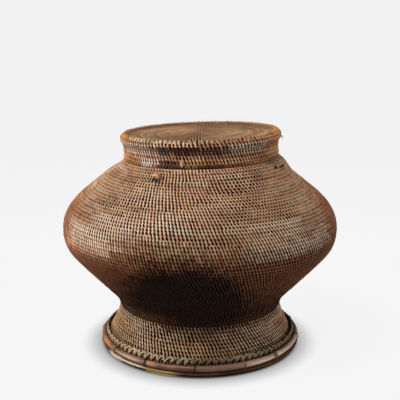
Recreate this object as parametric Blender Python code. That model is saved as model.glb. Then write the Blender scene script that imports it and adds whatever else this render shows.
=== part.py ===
# Round coiled basket of split cane: a wide bowl on a flaring foot, under a flat
# cap lid. Metres, +Z up. The origin is on the floor, on the basket's axis, and
# the front of the basket faces -Y.

from math import atan2, cos, pi, radians, sin

import bpy
from mathutils import Vector

MM = 0.001
TURN = 2 * pi

# Coiled wall, as thick as one wrapped coil, and the gap between touching pieces
COIL = 4.0 * MM
GAP = 0.3 * MM

# Bowl
BELLY_RADIUS = 165.0 * MM
BELLY_HEIGHT = 148.0 * MM
WAIST_RADIUS = 98.5 * MM
WAIST_HEIGHT = 51.0 * MM
MOUTH_HEIGHT = 231.0 * MM
MOUTH_SHIFT = 1.5 * MM
MOUTH_LEAN = radians(-1.7)
LEAN_DEPTH = 18.0 * MM
SHOULDER_LIP = 0.8 * MM

# Grooves between the coils of the bowl's side, of which the solid has every fourth one
ROW_HEIGHT = 4.15 * MM
ROWS_APART = 4
GROOVE_DEPTH = 1.6 * MM
GROOVE_WIDTH = 3.2 * MM

# Neck, hidden under the lid
NECK_RADIUS = 86.9 * MM
NECK_HEIGHT = 12.0 * MM
RIM_SECTION = 4.0 * MM

# Lid
LID_CLEARANCE = 1.0 * MM
SKIRT_HEIGHT = 13.9 * MM
SKIRT_BOTTOM_FLARE = 0.7 * MM
SKIRT_TOP_FLARE = 1.0 * MM
EDGE_COIL_HEIGHT = 4.2 * MM
BEAD_SECTION = 12.0 * MM
BEAD_OVERHANG = 4.0 * MM
LID_TOP_DROP = 4.0 * MM

# Foot, from the floor up: two split strips, the cane hoop and the coiled wall
FOOT_RADIUS = 122.6 * MM
STRIP_WIDTH = 5.0 * MM
STRIP_BULGE = 0.8 * MM
LOWER_STRIP_INSET = 1.4 * MM
LOWER_STRIP_HEIGHT = 2.8 * MM
UPPER_STRIP_HEIGHT = 2.6 * MM
HOOP_SECTION = 6.8 * MM
HOOP_JOINT_ANGLE = radians(-31.5)
HOOP_JOINT_GAP = 2.0 * MM
LOWER_STRIP_BREAK = (radians(-50.0), radians(-31.0))
FOOT_LIP_DROP = 4.0 * MM
FLARE_WIDTH = 5.1 * MM
FLARE_HEIGHT = 6.8 * MM
BORDER_LENGTH = 6.8 * MM
BORDER_THICKNESS = 3.2 * MM
SEAM_SECTION = 4.0 * MM

# Lashings that bind the cane hoop, by angle from the front
LASHING_ANGLES = [radians(angle) for angle in (
    -56.5, -31.5, -3.5, 24.0, 46.0, 78.5, 106.0, 133.0, 160.0, 188.0, 215.0, 242.0, 267.0)]
LASHING_THICKNESS = 0.7 * MM
LASHING_WIDTH = 3.2 * MM
LASHING_CLEARANCE = 0.5 * MM

# Ends of broken ties that stand out of the shoulder: angle from the front,
# drop below the mouth's ledge, and slant of the strand across the coils
TIES = {
    "tie_stub_left": (radians(-27.5), 8.5 * MM, radians(-14.0)),
    "tie_stub_right": (radians(61.0), 7.5 * MM, radians(-16.0)),
}
TIE_LENGTH = 17.0 * MM
TIE_RISE = 3.4 * MM
TIE_WIDTH = 3.2 * MM
TIE_THICKNESS = 1.0 * MM

# Outlines as shares of the rise and of the change of radius, bottom to top
BOWL_SHARES = [(0.14, 0.085), (0.35, 0.365), (0.6, 0.695), (0.8, 0.94), (1, 1)]
SHOULDER_SHARES = [(0.22, 0.055), (0.42, 0.22), (0.62, 0.49), (0.8, 0.745), (0.92, 0.925), (1, 1)]
FOOT_SHARES = [(0, 0), (0.4, 0.26), (0.8, 0.75), (1, 1)]
SKIRT_SHARES = [(0.35, 0), (0.75, 0.35), (1, 1)]

# Facets, and steps between the points of an outline
OUTSIDE_STEPS = 2
FINE_STEPS = 12
RING_SIDES = 48
HOOP_SIDES = 72
LASHING_SIDES = 12
TIE_STEPS = 8

# Sizes that follow
SKIRT_RADIUS = NECK_RADIUS + LID_CLEARANCE + COIL
LID_EDGE_RADIUS = SKIRT_RADIUS + SKIRT_BOTTOM_FLARE
SHOULDER_RADIUS = LID_EDGE_RADIUS + SHOULDER_LIP / 2
SHOULDER_HEIGHT = MOUTH_HEIGHT - SHOULDER_LIP
LEAN_START_HEIGHT = MOUTH_HEIGHT - LEAN_DEPTH
UPPER_STRIP_BASE = LOWER_STRIP_HEIGHT + GAP
LASHING_REACH = HOOP_SECTION / 2 + LASHING_CLEARANCE + LASHING_THICKNESS
HOOP_HEIGHT = UPPER_STRIP_BASE + UPPER_STRIP_HEIGHT + GAP + LASHING_REACH
HOOP_RADIUS = FOOT_RADIUS - HOOP_SECTION / 2
FOOT_EDGE_RADIUS = HOOP_RADIUS - LASHING_REACH - GAP
FOOT_EDGE_BASE = HOOP_HEIGHT - FOOT_LIP_DROP
FLARE_BASE = HOOP_HEIGHT + FOOT_LIP_DROP
FOOT_TOP = WAIST_HEIGHT - GAP


def smooth(points, steps):
    """Points along a Catmull-Rom curve through the given (radius, height) points."""
    curve = []
    for i in range(len(points) - 1):
        p0, p1, p2, p3 = (Vector(points[min(max(i + k, 0), len(points) - 1)]) for k in (-1, 0, 1, 2))
        for step in range(steps):
            t = step / steps
            curve.append(0.5 * (2 * p1 + (p2 - p0) * t + (2 * p0 - 5 * p1 + 4 * p2 - p3) * t ** 2
                                + (3 * p1 - p0 - 3 * p2 + p3) * t ** 3))
    return curve + [Vector(points[-1])]


def spread(shares, low, high):
    """Turn shares of rise and radius into points between two (radius, height) points."""
    return [(low[0] + (high[0] - low[0]) * wide, low[1] + (high[1] - low[1]) * up) for up, wide in shares]


def offset(curve, distance):
    """The curve moved to its left by a distance, square to itself."""
    moved = []
    for i, point in enumerate(curve):
        along = curve[min(i + 1, len(curve) - 1)] - curve[max(i - 1, 0)]
        along.normalize()
        moved.append(point + distance * Vector((-along.y, along.x)))
    return moved


def oval(centre, length, thickness, slope, sides):
    """An oval section round a (radius, height) centre, its length turned by slope."""
    points = []
    for i in range(sides):
        a = TURN * i / sides
        u, v = length / 2 * cos(a), thickness / 2 * sin(a)
        points.append((centre[0] + u * cos(slope) - v * sin(slope), centre[1] + u * sin(slope) + v * cos(slope)))
    return points


def bowl_outline(steps):
    """The bowl's outer outline, from the waist to the top of the shoulder."""
    waist, belly = (WAIST_RADIUS, WAIST_HEIGHT), (BELLY_RADIUS, BELLY_HEIGHT)
    top = (SHOULDER_RADIUS, SHOULDER_HEIGHT)
    return smooth([waist] + spread(BOWL_SHARES, waist, belly) + spread(SHOULDER_SHARES, belly, top), steps)


def grooved(curve):
    """The curve with a groove for every few rows of coil, counted down from its top."""
    lengths = [0]
    for before, after in zip(curve, curve[1:]):
        lengths.append(lengths[-1] + (after - before).length)
    total = lengths[-1]

    def at(length, depth=0):
        i = max(k for k in range(len(curve) - 1) if lengths[k] <= length)
        along = (curve[i + 1] - curve[i]).normalized()
        return curve[i] + along * (length - lengths[i]) + depth * Vector((-along.y, along.x))

    spacing = ROWS_APART * total / round(total / ROW_HEIGHT)
    points = [curve[0]]
    for k in reversed(range(1, int(total / spacing) + 1)):
        middle = total - k * spacing
        if middle > spacing / 2:
            points += [at(middle - spacing / 2), at(middle - GROOVE_WIDTH / 2),
                       at(middle, GROOVE_DEPTH), at(middle + GROOVE_WIDTH / 2)]
    return points + [at(total - spacing / 2), curve[-1]]


def leaned(point):
    """Tip a point of the bowl with the mouth, which leans to one side above the shoulder."""
    share = (point.z - LEAN_START_HEIGHT) / (SHOULDER_HEIGHT - COIL - LEAN_START_HEIGHT)
    share = min(max(share, 0), 1)
    a = MOUTH_LEAN * share * share * (3 - 2 * share)
    x, z = point.x, point.z - MOUTH_HEIGHT
    shift = MOUTH_SHIFT * a / MOUTH_LEAN
    return Vector((x * cos(a) + z * sin(a) + shift, point.y, MOUTH_HEIGHT - x * sin(a) + z * cos(a)))


def material(name, colour, roughness):
    made = bpy.data.materials.new(name)
    made.use_nodes = True
    shader = made.node_tree.nodes["Principled BSDF"]
    shader.inputs["Base Color"].default_value = (*colour, 1)
    shader.inputs["Roughness"].default_value = roughness
    shader.inputs["Metallic"].default_value = 0
    made.diffuse_color = (*colour, 1)
    return made


def add_object(name, points, faces, finish, parent=None):
    mesh = bpy.data.meshes.new(name)
    mesh.from_pydata(points, [], faces)
    mesh.materials.append(finish)
    mesh.shade_smooth()
    mesh.set_sharp_from_angle(angle=radians(40))
    made = bpy.data.objects.new(name, mesh)
    made.parent = parent
    bpy.context.collection.objects.link(made)
    return made


def around(angle, radius, height):
    """The point at an angle from the front, counted towards +X."""
    return Vector((radius * sin(angle), -radius * cos(angle), height))


def turned(name, section, finish, sides=RING_SIDES, parent=None, bend=None):
    """A closed solid turned round the Z axis. The section runs anticlockwise, seen
    with the radius to the right, and may start and end on the axis."""
    on_axis = [i for i, (radius, height) in enumerate(section) if radius == 0]
    points, rings = [], []
    for i, (radius, height) in enumerate(section):
        if i in on_axis:
            rings.append([len(points)] * sides)
            points.append(Vector((0, 0, height)))
        else:
            rings.append([len(points) + k for k in range(sides)])
            points += [around(TURN * k / sides, radius, height) for k in range(sides)]
    faces = []
    for i, ring in enumerate(rings):
        above = (i + 1) % len(rings)
        if i in on_axis and above in on_axis:
            continue
        for k in range(sides):
            m = (k + 1) % sides
            corners = [ring[k], ring[m], rings[above][m], rings[above][k]]
            faces.append(list(dict.fromkeys(corners)))
    if bend:
        points = [bend(point) for point in points]
    return add_object(name, points, faces, finish, parent)


def open_ring(name, section, first, last, finish, sides):
    """A ring of the given section that runs from one angle to another and has flat ends."""
    points, faces = [], []
    count = len(section)
    for k in range(sides + 1):
        angle = first + (last - first) * k / sides
        points += [around(angle, radius, height) for radius, height in section]
    for k in range(sides):
        for i in range(count):
            j = (i + 1) % count
            low, high = k * count, (k + 1) * count
            faces.append([low + i, high + i, high + j, low + j])
    faces.append(list(range(count)))
    faces.append([sides * count + i for i in reversed(range(count))])
    return add_object(name, points, faces, finish)


def make_bowl(finish):
    outer = grooved(bowl_outline(FINE_STEPS))
    neck_inside = NECK_RADIUS - COIL
    neck_top = MOUTH_HEIGHT + NECK_HEIGHT
    inner = [point for point in offset(bowl_outline(1), COIL) if point.y > WAIST_HEIGHT + 2 * COIL]
    section = [(0, WAIST_HEIGHT), *outer, (SHOULDER_RADIUS - SHOULDER_LIP, MOUTH_HEIGHT),
               (NECK_RADIUS, MOUTH_HEIGHT), (NECK_RADIUS, neck_top), (neck_inside, neck_top),
               (neck_inside, SHOULDER_HEIGHT - COIL), *reversed(inner),
               (WAIST_RADIUS - COIL, WAIST_HEIGHT + COIL), (0, WAIST_HEIGHT + COIL)]
    return turned("bowl_wall", section, finish, bend=leaned)


def make_mouth_rim(finish, mouth):
    centre = (NECK_RADIUS - COIL / 2, NECK_HEIGHT + GAP + RIM_SECTION / 2)
    return turned("mouth_rim", oval(centre, RIM_SECTION, RIM_SECTION, 0, 6), finish, parent=mouth)


def make_foot(finish):
    flare_top = (FOOT_EDGE_RADIUS - FLARE_WIDTH, FLARE_BASE + FLARE_HEIGHT)
    rise = spread(FOOT_SHARES, (WAIST_RADIUS, FOOT_TOP), flare_top)
    outer = [Vector((FOOT_EDGE_RADIUS, FOOT_EDGE_BASE)), Vector((FOOT_EDGE_RADIUS, FLARE_BASE))]
    outer += smooth(rise[::-1], OUTSIDE_STEPS)
    inner = offset(outer, COIL)
    inner[0].y, inner[-1].y = FOOT_EDGE_BASE, FOOT_TOP
    return turned("foot_wall", [*outer, *reversed(inner)], finish)


def make_foot_border(finish):
    along = Vector((FLARE_WIDTH, -FLARE_HEIGHT)).normalized()
    out = Vector((-along.y, along.x))
    middle = Vector((FOOT_EDGE_RADIUS - FLARE_WIDTH / 2, FLARE_BASE + FLARE_HEIGHT / 2))
    centre = middle + out * (GAP + BORDER_THICKNESS / 2)
    slope = atan2(along.y, along.x)
    return turned("foot_border", oval(centre, BORDER_LENGTH, BORDER_THICKNESS, slope, 8), finish)


def make_foot_seam(finish):
    centre = (WAIST_RADIUS - COIL - GAP - SEAM_SECTION / 2, WAIST_HEIGHT - GAP - SEAM_SECTION / 2)
    return turned("foot_seam", oval(centre, SEAM_SECTION, SEAM_SECTION, 0, 6), finish)


def make_foot_hoop(finish):
    half_gap = HOOP_JOINT_GAP / 2 / HOOP_RADIUS
    section = oval((HOOP_RADIUS, HOOP_HEIGHT), HOOP_SECTION, HOOP_SECTION, 0, 8)
    first, last = HOOP_JOINT_ANGLE + half_gap, HOOP_JOINT_ANGLE + TURN - half_gap
    return open_ring("foot_hoop", section, first, last, finish, HOOP_SIDES)


def strip_section(outside, base, height):
    """A split strip lying flat, rounded on its outer side."""
    inside, shoulder = outside - STRIP_WIDTH, outside - STRIP_BULGE
    return [(inside, base), (shoulder, base), (outside, base + height / 2),
            (shoulder, base + height), (inside, base + height)]


def make_foot_strips(pale, brown):
    broken_first, broken_last = LOWER_STRIP_BREAK
    lower = strip_section(FOOT_RADIUS - LOWER_STRIP_INSET, 0, LOWER_STRIP_HEIGHT)
    open_ring("foot_strip_lower", lower, broken_last, broken_first + TURN, pale, RING_SIDES)
    turned("foot_strip_upper", strip_section(FOOT_RADIUS, UPPER_STRIP_BASE, UPPER_STRIP_HEIGHT), brown)


def make_lashings(finish):
    """Straps round the cane hoop, each a closed band in the plane across the hoop."""
    inside = HOOP_SECTION / 2 + LASHING_CLEARANCE
    outside = inside + LASHING_THICKNESS
    half = LASHING_WIDTH / 2
    points, faces = [], []
    for i in range(LASHING_SIDES):
        a = TURN * i / LASHING_SIDES
        points += [(radius * cos(a), y, radius * sin(a))
                   for radius, y in ((inside, -half), (outside, -half), (outside, half), (inside, half))]
        low, high = 4 * i, 4 * ((i + 1) % LASHING_SIDES)
        faces += [[low + k, low + (k + 1) % 4, high + (k + 1) % 4, high + k] for k in range(4)]
    for number, angle in enumerate(LASHING_ANGLES, 1):
        band = add_object(f"hoop_lashing_{number:02d}", points, faces, finish)
        band.location = around(angle, HOOP_RADIUS, HOOP_HEIGHT)
        band.rotation_euler.z = angle - pi / 2


def make_tie(name, angle, drop, slant, finish):
    """A bowed end of flat strand that stands out of the shoulder like a staple."""
    outline, height = bowl_outline(FINE_STEPS), MOUTH_HEIGHT - drop
    near = min(range(1, len(outline) - 1), key=lambda i: abs(outline[i].y - height))
    seat, along = outline[near], (outline[near + 1] - outline[near - 1]).normalized()
    across = Vector((cos(angle), sin(angle), 0))
    upward = around(angle, along.x, along.y)
    out = across.cross(upward)
    side = across * cos(slant) + upward * sin(slant)
    width = upward * cos(slant) - across * sin(slant)
    foot = leaned(around(angle, seat.x, seat.y)) + out * (3 * GAP)
    points, faces = [], []
    for i in range(TIE_STEPS + 1):
        a = pi * i / TIE_STEPS
        for grow, w in ((0, -1), (1, -1), (1, 1), (0, 1)):
            reach, rise = TIE_LENGTH / 2 - TIE_THICKNESS * (1 - grow), TIE_RISE - TIE_THICKNESS * (1 - grow)
            points.append(foot + side * reach * cos(a) + out * rise * sin(a) + width * w * TIE_WIDTH / 2)
    for i in range(TIE_STEPS):
        low, high = 4 * i, 4 * (i + 1)
        faces += [[low + k, low + (k + 1) % 4, high + (k + 1) % 4, high + k] for k in range(4)]
    faces += [[3, 2, 1, 0], [4 * TIE_STEPS + k for k in range(4)]]
    add_object(name, points, faces, finish)


def make_lid(weave, edge, bead_finish, mouth):
    """The lid's pieces, with heights counted up from the ledge that the lid rests on."""
    edge_centre = (LID_EDGE_RADIUS - COIL / 2, GAP + EDGE_COIL_HEIGHT / 2)
    turned("lid_edge_coil", oval(edge_centre, COIL, EDGE_COIL_HEIGHT, 0, 8), edge, parent=mouth)

    base = GAP + EDGE_COIL_HEIGHT + GAP
    top = base + SKIRT_HEIGHT
    low, middle, high = LID_EDGE_RADIUS, SKIRT_RADIUS, SKIRT_RADIUS + SKIRT_TOP_FLARE
    rise = [(low, base), *spread(SKIRT_SHARES, (middle, base), (high, top))]
    outer = smooth(rise, 1)
    inner = [(point.x - COIL, point.y) for point in reversed(outer)]
    turned("lid_skirt", [*outer, *inner], weave, parent=mouth)

    bead_radius, bead_height = SKIRT_RADIUS + BEAD_OVERHANG - BEAD_SECTION / 2, top + GAP + BEAD_SECTION / 2
    turned("lid_bead", oval((bead_radius, bead_height), BEAD_SECTION, BEAD_SECTION, 0, 12),
           bead_finish, parent=mouth)

    rim = bead_radius - BEAD_SECTION / 2 - GAP
    flat = bead_height + BEAD_SECTION / 2 - LID_TOP_DROP
    under = flat - COIL
    turned("lid_top", [(0, under), (rim, under), (rim, flat), (0, flat)], weave, parent=mouth)


def mouth_empty(name):
    """An empty on the ledge round the neck, tipped as the mouth is."""
    made = bpy.data.objects.new(name, None)
    made.location = (MOUTH_SHIFT, 0, MOUTH_HEIGHT)
    made.rotation_euler.y = MOUTH_LEAN
    bpy.context.collection.objects.link(made)
    return made


def main():
    for old in list(bpy.data.objects):
        bpy.data.objects.remove(old)
    weave = material("cane_weave", (0.30, 0.18, 0.11), 0.6)
    foot_weave = material("foot_weave", (0.24, 0.17, 0.11), 0.6)
    lid_weave = material("lid_weave", (0.28, 0.16, 0.10), 0.6)
    purple = material("lid_edge", (0.14, 0.07, 0.06), 0.6)
    pale_wrap = material("bead_wrap", (0.42, 0.26, 0.13), 0.55)
    border = material("border_wrap", (0.32, 0.27, 0.20), 0.6)
    cane = material("hoop_cane", (0.20, 0.08, 0.06), 0.35)
    pale = material("pale_strip", (0.45, 0.33, 0.12), 0.5)
    brown = material("brown_strip", (0.22, 0.13, 0.08), 0.5)
    golden = material("lashing_strand", (0.36, 0.22, 0.09), 0.5)
    tie = material("tie_strand", (0.50, 0.30, 0.15), 0.5)

    neck_frame, lid_frame = mouth_empty("neck_frame"), mouth_empty("lid_frame")
    make_bowl(weave)
    make_mouth_rim(weave, neck_frame)
    make_foot(foot_weave)
    make_foot_border(border)
    make_foot_seam(foot_weave)
    make_foot_hoop(cane)
    make_foot_strips(pale, brown)
    make_lashings(golden)
    for name, (angle, drop, slant) in TIES.items():
        make_tie(name, angle, drop, slant, tie)
    make_lid(lid_weave, purple, pale_wrap, lid_frame)


main()
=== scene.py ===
# Looks of the round coiled basket. Each stitch of split cane is a small strap of mesh of its own, sewn
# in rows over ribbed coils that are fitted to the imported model.
from math import ceil, cos, pi, radians, sin, sqrt

import bpy
import numpy as np
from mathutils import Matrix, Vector
from mathutils.bvhtree import BVHTree


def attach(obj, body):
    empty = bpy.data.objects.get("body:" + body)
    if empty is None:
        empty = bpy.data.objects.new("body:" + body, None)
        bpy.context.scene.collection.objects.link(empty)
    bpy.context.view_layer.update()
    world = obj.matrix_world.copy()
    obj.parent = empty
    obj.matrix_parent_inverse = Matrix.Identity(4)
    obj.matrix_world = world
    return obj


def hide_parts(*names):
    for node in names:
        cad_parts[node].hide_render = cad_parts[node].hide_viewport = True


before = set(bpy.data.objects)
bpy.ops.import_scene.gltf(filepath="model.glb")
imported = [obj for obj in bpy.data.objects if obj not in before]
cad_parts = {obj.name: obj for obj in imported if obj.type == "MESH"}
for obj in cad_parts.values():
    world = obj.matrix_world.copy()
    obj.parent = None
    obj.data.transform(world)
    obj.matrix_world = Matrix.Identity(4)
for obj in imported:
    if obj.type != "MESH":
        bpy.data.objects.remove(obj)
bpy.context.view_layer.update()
mm = 0.001
turn = 2 * pi
print("frame loaded:", len(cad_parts), "nodes")


# Where a piece stands: as it is, tipped with the mouth, or counted up from the ledge round the neck
mouth = {
    "height": 231.0 * mm,
    "shift": 1.5 * mm,
    "lean": radians(-1.7),
    "leanDepth": 18.0 * mm,      # the bowl starts to tip this far below the ledge
    "settled": 4.8 * mm,         # and has tipped all the way this far below it
}


def asItStands(points):
    return points


def tipped(points, share):
    a = mouth["lean"] * share
    x, z = points[..., 0], points[..., 2] - mouth["height"]
    return np.stack([x * np.cos(a) + z * np.sin(a) + mouth["shift"] * share, points[..., 1],
                     mouth["height"] - x * np.sin(a) + z * np.cos(a)], -1)


def withTheMouth(points):
    share = (points[..., 2] - mouth["height"] + mouth["leanDepth"]) / (mouth["leanDepth"] - mouth["settled"])
    share = np.clip(share, 0, 1)
    return tipped(points, share * share * (3 - 2 * share))


def onTheLedge(points):
    return tipped(points + np.array([0, 0, mouth["height"]]), np.ones(points.shape[:-1]))


# Lines and rings round the axis
def around(r, angle, z):                # places at a radius, an angle from the front and a height
    return np.stack([r * np.sin(angle), -r * np.cos(angle), z], -1)


def inDegrees(angle):                   # from -180 to 180, with 0 in front
    return (np.degrees(angle) + 180) % 360 - 180


def smoothLine(points, steps):          # through points in any number of directions
    points = np.array(points, float)
    padded = np.vstack([2 * points[0] - points[1], points, 2 * points[-1] - points[-2]])
    t = np.linspace(0, 1, steps, endpoint=False)[:, None]
    line = []
    for i in range(len(points) - 1):
        a, b, c, d = padded[i:i + 4]
        line.append(0.5 * (2 * b + (c - a) * t + (2 * a - 5 * b + 4 * c - d) * t ** 2
                           + (3 * b - a - 3 * c + d) * t ** 3))
    return np.vstack(line + [points[-1:]])


# Outlines: a smooth line through (radius, height) points, bottom to top along an outer side
def makeOutline(points, steps=16):
    spare = 1.5 * mm                    # the line runs on this far past both ends
    line = smoothLine(points, steps)
    first, last = line[0] - line[1], line[-1] - line[-2]
    line = np.vstack([line[0] + first / np.hypot(*first) * spare, line,
                      line[-1] + last / np.hypot(*last) * spare])
    length = np.append(0, np.cumsum(np.hypot(*np.diff(line, axis=0).T))) - spare
    along = np.gradient(line, length, axis=0)
    along /= np.hypot(*along.T)[:, None]
    return {"s": length, "r": line[:, 0], "z": line[:, 1], "outR": along[:, 1], "outZ": -along[:, 0],
            "total": length[-1] - spare}


def onOutline(outline, s, key):
    return np.interp(s, outline["s"], outline[key])


def turnedPoint(outline, s, out, angle):     # a point out from the outline, at an angle from the front
    r = np.maximum(onOutline(outline, s, "r") + out * onOutline(outline, s, "outR"), 0.05 * mm)
    return around(r, angle, onOutline(outline, s, "z") + out * onOutline(outline, s, "outZ"))


# The CAD solid's own outline in front, found by rays at a count of heights
def measured(node, low, high, count, fromInside=False, ledge=False):
    tree = BVHTree.FromObject(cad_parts[node], bpy.context.evaluated_depsgraph_get())
    points = []
    for z in np.linspace(low, high, count):
        axis, outside = np.array([0, 0, z]), np.array([0, -1, z])
        start, end = (axis, outside) if fromInside else (outside, axis)
        if ledge:
            start, end = onTheLedge(start), onTheLedge(end)
        hit = tree.ray_cast(Vector(start), Vector(end - start).normalized())
        if hit[0] is not None:
            points.append((-hit[0].y, z))
    return points


def arcPoints(centre, radius, first, last, count=9):      # along a coil's round section, 0 is outward
    return [(centre[0] + radius * cos(radians(a)), centre[1] + radius * sin(radians(a)))
            for a in np.linspace(first, last, count)]


# Meshes are gathered in a heap and become one object
def newHeap():
    return {"points": [], "faces": [], "uv": [], "stitch": [], "patch": [], "run": [], "total": 0}


def signedVolume(points, faces):
    total = 0.0
    for face in faces:
        for k in range(1, face.shape[1] - 1):
            a, b, c = points[face[:, 0]], points[face[:, k]], points[face[:, k + 1]]
            total += np.einsum("ij,ij->i", a, np.cross(b, c)).sum()
    return total


def addTo(heap, points, faces, uv, stitch=None, patch=None, run=None):
    if signedVolume(points - points.mean(0), faces) < 0:
        faces, uv = [face[:, ::-1] for face in faces], [place[:, ::-1] for place in uv]
    heap["faces"] += [face + heap["total"] for face in faces]
    heap["uv"] += uv
    heap["points"].append(points)
    heap["stitch"].append(np.zeros((len(points), 3)) + 0.5 if stitch is None else stitch)
    heap["patch"].append(np.zeros((len(points), 3)) if patch is None else patch)
    heap["run"].append(np.tile((0.5, 0.0, 0.0), (len(points), 1)) if run is None else run)
    heap["total"] += len(points)


# A home says how a piece is placed, and its body, the nodes that it replaces and its slot
def makePiece(name, heap, finish, home, creased=50):
    body, nodes, slot = home[1:]
    points = np.vstack(heap["points"])
    corners = np.concatenate([face.ravel() for face in heap["faces"]])
    sizes = np.concatenate([np.full(len(face), face.shape[1]) for face in heap["faces"]])
    mesh = bpy.data.meshes.new(name)
    mesh.vertices.add(len(points))
    mesh.vertices.foreach_set("co", points.astype(np.float32).ravel())
    mesh.loops.add(len(corners))
    mesh.loops.foreach_set("vertex_index", corners.astype(np.int32))
    mesh.polygons.add(len(sizes))
    mesh.polygons.foreach_set("loop_start", np.append(0, np.cumsum(sizes)[:-1]).astype(np.int32))
    mesh.update(calc_edges=True)
    mesh.shade_smooth()
    mesh.set_sharp_from_angle(angle=radians(creased))
    for key in ("stitch", "patch", "run"):
        layer = mesh.attributes.new(key, "FLOAT_VECTOR", "POINT")
        layer.data.foreach_set("vector", np.vstack(heap[key]).astype(np.float32).ravel())
    baked = mesh.uv_layers.new(name="OFBake")
    uv = np.concatenate([places.reshape(-1, 2) for places in heap["uv"]])
    baked.data.foreach_set("uv", uv.astype(np.float32).ravel())
    mesh.materials.append(finish)
    piece = bpy.data.objects.new(name, mesh)
    bpy.context.scene.collection.objects.link(piece)
    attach(piece, body)
    if nodes:
        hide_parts(*nodes)
    print("made", name, int((sizes - 2).sum()), "triangles")


# Stitches: a plan of where each one starts and ends, and the strap that follows it
def refit(angles, count, chance):       # drops close stitches, adds some in wide gaps, then evens the spacing
    swapped = 2 if count > 60 else 0    # this many more are dropped, and put back elsewhere
    for adding in (False, True):
        angles = np.sort(angles)
        gap = np.diff(np.append(angles, angles[0] + turn))
        order = np.argsort(gap * chance.uniform(1, 1.6, len(gap)))
        if adding:
            chosen = order[max(0, len(order) + len(angles) - count):]
            angles = np.sort(np.append(angles, angles[chosen] + gap[chosen] / 2))
        else:
            angles = np.delete(angles, order[:max(0, len(angles) - count) + swapped])
    for _ in range(8):
        before, after = np.roll(angles, 1), np.roll(angles, -1)
        before[0] -= turn
        after[-1] += turn
        angles = angles + 0.5 * ((before + after) / 2 - angles)
    return angles


# Hue and shade of each stitch, the same for all of one length of cane; a share of them starts a new one
def caneRuns(count, share, chance):
    run = np.cumsum(chance.uniform(size=count) < share)
    return chance.uniform(0, 1, run[-1] + 1)[run], chance.normal(0.5, 0.2, run[-1] + 1)[run]


def planRows(outline, sewing):
    chance = np.random.default_rng(sewing["seed"])
    rows = max(1, round(outline["total"] / sewing["row"]))
    edges = np.linspace(0, outline["total"], rows + 1)
    angles = None
    plan = {"low": [], "high": [], "from": [], "to": [], "row": [], "hue": [], "shade": []}
    for row in range(rows):
        radius = onOutline(outline, (edges[row] + edges[row + 1]) / 2, "r")
        count = max(6, round(turn * radius / sewing["pitch"]))
        if angles is None:
            angles = (np.arange(count) + chance.uniform()) * turn / count
        angles = refit(angles, count, chance)
        step = turn / len(angles)
        jitter = chance.uniform(-1, 1, (2, len(angles))) * step * sewing["uneven"]
        lean = sewing["lean"] + sewing["leanChange"] * np.sin(angles)
        above = angles - step * lean
        slide = 0
        if sewing.get("slant"):         # a stitch may slant less than the lines of holes do
            height = onOutline(outline, edges[row], "z") / mm
            belly = np.interp(height, *sewing["slantHeights"])
            steep = sewing["slantRight"] * np.clip(np.sin(angles), 0, 1) * belly
            slide = step * (sewing["slant"] * (1 - np.sin(angles)) + steep - lean) / 2
        hue, shade = caneRuns(len(angles), 1 / sewing["runLength"], chance)
        stitches = {"low": angles + jitter[0] + slide, "high": above + jitter[1] - slide,
                    "from": edges[row], "to": edges[row + 1], "row": row, "hue": hue, "shade": shade}
        for key, value in stitches.items():
            plan[key].append(np.broadcast_to(value, len(angles)))
        angles = above
    return {key: np.concatenate(value) for key, value in plan.items()}


def patchShares(places, angle, height, chance):     # how golden, pale or dark each stitch is
    shares = np.zeros((len(angle), 3))
    for kind, middle, half, low, high, strength in places:
        column = ("golden", "pale", "dark").index(kind)
        off = np.abs((np.degrees(angle) - middle + 180) % 360 - 180) / half
        rise = np.abs(height / mm - (low + high) / 2) / ((high - low) / 2)
        near = np.clip(1.5 - np.maximum(off ** 2, rise ** 2) - chance.uniform(0, 0.9, len(angle)), 0, 1)
        shares[:, column] = np.maximum(shares[:, column], np.sqrt(near) * strength)
    return shares


# Near 1 for stitches well under a wavy edge and 0 for those above it
def belowEdge(edge, angle, height, chance, spread=0.2):
    spots, heights, soft = np.array(edge, float).T
    middle = np.interp(np.degrees(angle), spots, heights, period=360)
    width = np.interp(np.degrees(angle), spots, soft, period=360)
    return np.clip(0.5 + (middle - height / mm) / width + chance.normal(0, spread, len(angle)), 0, 0.96)


def inset(share):                       # leaves room between neighbours in the UV layout
    room = 0.015
    return share * (1 - 2 * room) + room


strapTop = 1.2                          # the middle of a full strap, in thicknesses
fullStrap = (np.array([-0.5, -0.37, 0, 0.37, 0.5]), np.array([0, 0.8, strapTop, 0.8, 0]))
plainStrap = (np.array([-0.5, -0.38, 0.38, 0.5]), np.array([0, 1, 1, 0]))


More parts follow.
